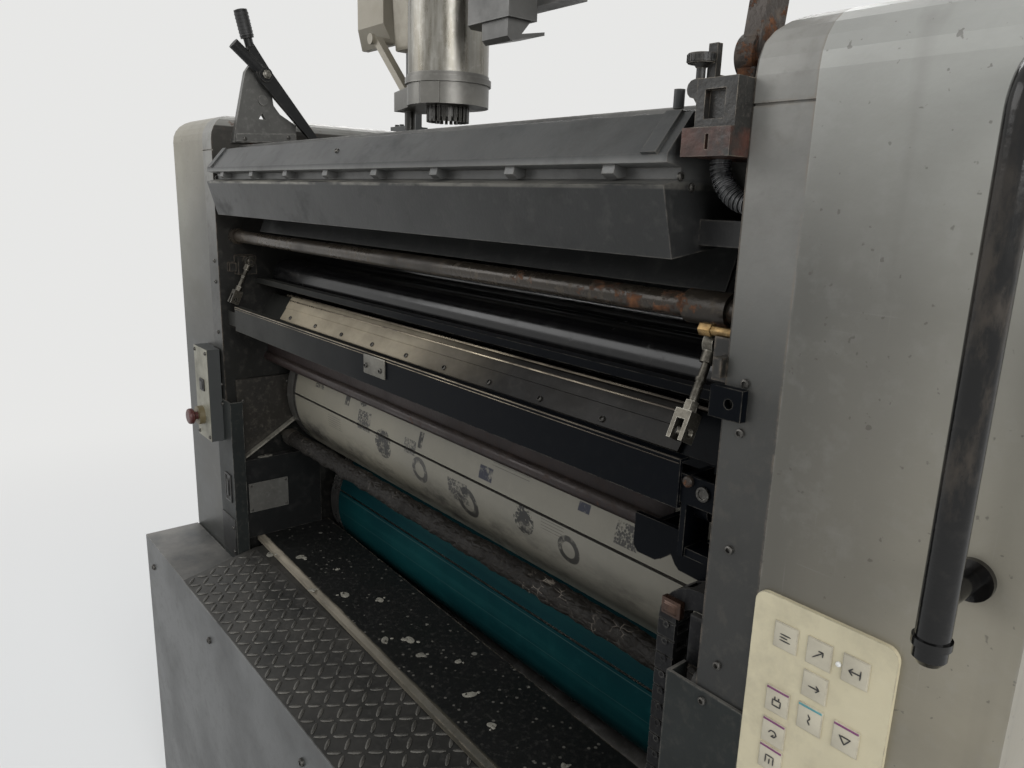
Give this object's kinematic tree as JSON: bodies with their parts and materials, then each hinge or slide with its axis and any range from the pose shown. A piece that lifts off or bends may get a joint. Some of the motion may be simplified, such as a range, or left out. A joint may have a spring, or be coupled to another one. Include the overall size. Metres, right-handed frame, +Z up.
{
  "type": "offset printing unit",
  "caption": "Printing unit of a sheet-fed offset press with its front guard off, showing cylinders, inking rollers, step, housings and an ink dispenser.",
  "frame": {"origin": "centre of the overall box at floor level", "axes": "+X along the cylinders, to the right as seen from the open front; +Y from the front into the unit; +Z up"},
  "size_m": [1.62, 0.856, 2.052],
  "materials": {
    "cast_dark": "semi-gloss",
    "cast_frame": "worn semi-gloss",
    "housing_paint": "worn satin",
    "black_paint": "dusty satin",
    "tread": "matt with worn raised pattern",
    "board": "black film, worn edge",
    "steel": "ground",
    "plate_metal": "grained, blotched",
    "blanket_rubber": "smooth",
    "roller_rubber": "smooth",
    "copper_drum": "inked metal",
    "rusty_steel": "greasy with rust",
    "pale_strip": "stained",
    "grey_steel": "worn",
    "zinc": "zinc plated",
    "aluminium": "anodised",
    "panel_film": "matt film",
    "red_plastic": "gloss",
    "black_plastic": "satin"
  },
  "bodies": {
    "root": {"bed_plate": "cast_dark", "side_frame_left": "cast_frame", "side_frame_right": "cast_frame", "housing_left": "housing_paint", "housing_right": "housing_paint", "lower_trim_left": "black_paint", "lower_trim_right": "black_paint", "front_apron": "cast_dark", "rear_cover": "cast_dark", "top_cover": "cast_dark", "tread_ramp": "tread", "step_board": "board", "ink_cover": "black_paint", "guard_tube": "rusty_steel", "strip_carrier": "black_paint", "washup_strip": "pale_strip", "guard_plate": "black_paint", "plate_rod": "rusty_steel", "finger_guard": "rusty_steel", "notch_bracket": "black_paint", "side_plate_left": "grey_steel", "side_block_left": "black_paint", "tag_plate": "aluminium", "side_lug": "black_paint", "lever_bracket": "grey_steel", "stop_block": "black_paint", "stop_arm": "rusty_steel", "conduit": "black_plastic", "ink_duct": "grey_steel", "gantry": "cast_dark", "panel_right": "panel_film", "panel_left": "panel_film", "grab_handle": "black_plastic", "cable_chain": "black_plastic"},
    "plate_body": {"plate_cylinder": "steel", "printing_plate": "plate_metal"},
    "blanket_body": {"blanket_cylinder": "steel", "blanket": "blanket_rubber"},
    "impression_body": {"impression_cylinder": "steel"},
    "form_front_body": {"form_roller_front": "roller_rubber"},
    "form_rear_body": {"form_roller_rear": "roller_rubber"},
    "drum_body": {"ink_drum": "copper_drum"},
    "transfer_body": {"transfer_roller": "roller_rubber"},
    "front_roller_body": {"front_roller": "roller_rubber"},
    "duct_roller_body": {"duct_roller": "steel"},
    "dispenser_body": {"carriage": "grey_steel", "ink_cartridge": "aluminium", "cartridge_base": "grey_steel"},
    "lever_body": {"lever": "grey_steel"},
    "stop_button_body": {"stop_button": "red_plastic"},
    "link_left_body": {"guard_link_left": "grey_steel", "fork_head_left": "zinc"},
    "link_right_body": {"guard_link_right": "grey_steel", "fork_head_right": "zinc"}
  },
  "joints": [
    {"name": "plate_turn", "type": "hinge", "parent": "root", "child": "plate_body", "pos_m": [0, -0.059, 1.05], "axis": [1, 0, 0], "continuous": true},
    {"name": "blanket_turn", "type": "hinge", "parent": "root", "child": "blanket_body", "pos_m": [0, 0.033, 0.79085], "axis": [1, 0, 0], "continuous": true},
    {"name": "impression_turn", "type": "hinge", "parent": "root", "child": "impression_body", "pos_m": [0, 0.118, 0.38975], "axis": [1, 0, 0], "continuous": true},
    {"name": "form_front_turn", "type": "hinge", "parent": "root", "child": "form_front_body", "pos_m": [0, -0.11759, 1.21097], "axis": [1, 0, 0], "continuous": true},
    {"name": "form_rear_turn", "type": "hinge", "parent": "root", "child": "form_rear_body", "pos_m": [0, -0.00178, 1.20721], "axis": [1, 0, 0], "continuous": true},
    {"name": "drum_turn", "type": "hinge", "parent": "root", "child": "drum_body", "pos_m": [0, -0.05519, 1.26309], "axis": [1, 0, 0], "continuous": true},
    {"name": "transfer_turn", "type": "hinge", "parent": "root", "child": "transfer_body", "pos_m": [0, -0.123, 1.30224], "axis": [1, 0, 0], "continuous": true},
    {"name": "front_roller_turn", "type": "hinge", "parent": "root", "child": "front_roller_body", "pos_m": [0, -0.18881, 1.29416], "axis": [1, 0, 0], "continuous": true},
    {"name": "duct_roller_turn", "type": "hinge", "parent": "root", "child": "duct_roller_body", "pos_m": [0, -0.137, 1.47], "axis": [1, 0, 0], "continuous": true},
    {"name": "dispenser_slide", "type": "slide", "parent": "root", "child": "dispenser_body", "axis": [1, 0, 0], "range_m": [-0.19, 0.33]},
    {"name": "lever_turn", "type": "hinge", "parent": "root", "child": "lever_body", "pos_m": [-0.55, -0.216, 1.666], "axis": [1, 0, 0], "range_deg": [-8, 20]},
    {"name": "stop_press", "type": "slide", "parent": "root", "child": "stop_button_body", "axis": [0, 1, 0], "range_m": [0, 0.004]},
    {"name": "link_left_turn", "type": "hinge", "parent": "root", "child": "link_left_body", "pos_m": [-0.549, -0.262, 1.322], "axis": [1, 0, 0], "range_deg": [-60, 15]},
    {"name": "link_right_turn", "type": "hinge", "parent": "root", "child": "link_right_body", "pos_m": [0.549, -0.288, 1.342], "axis": [1, 0, 0], "range_deg": [-60, 15]}
  ],
  "couplings": [
    {"joint": "blanket_turn", "follows": "plate_turn", "ratio": -1},
    {"joint": "impression_turn", "follows": "plate_turn", "ratio": 0.5},
    {"joint": "form_front_turn", "follows": "plate_turn", "ratio": -3.75},
    {"joint": "form_rear_turn", "follows": "plate_turn", "ratio": -4.2188},
    {"joint": "drum_turn", "follows": "plate_turn", "ratio": 3},
    {"joint": "transfer_turn", "follows": "plate_turn", "ratio": -4.0909},
    {"joint": "front_roller_turn", "follows": "plate_turn", "ratio": 4.0909}
  ]
}
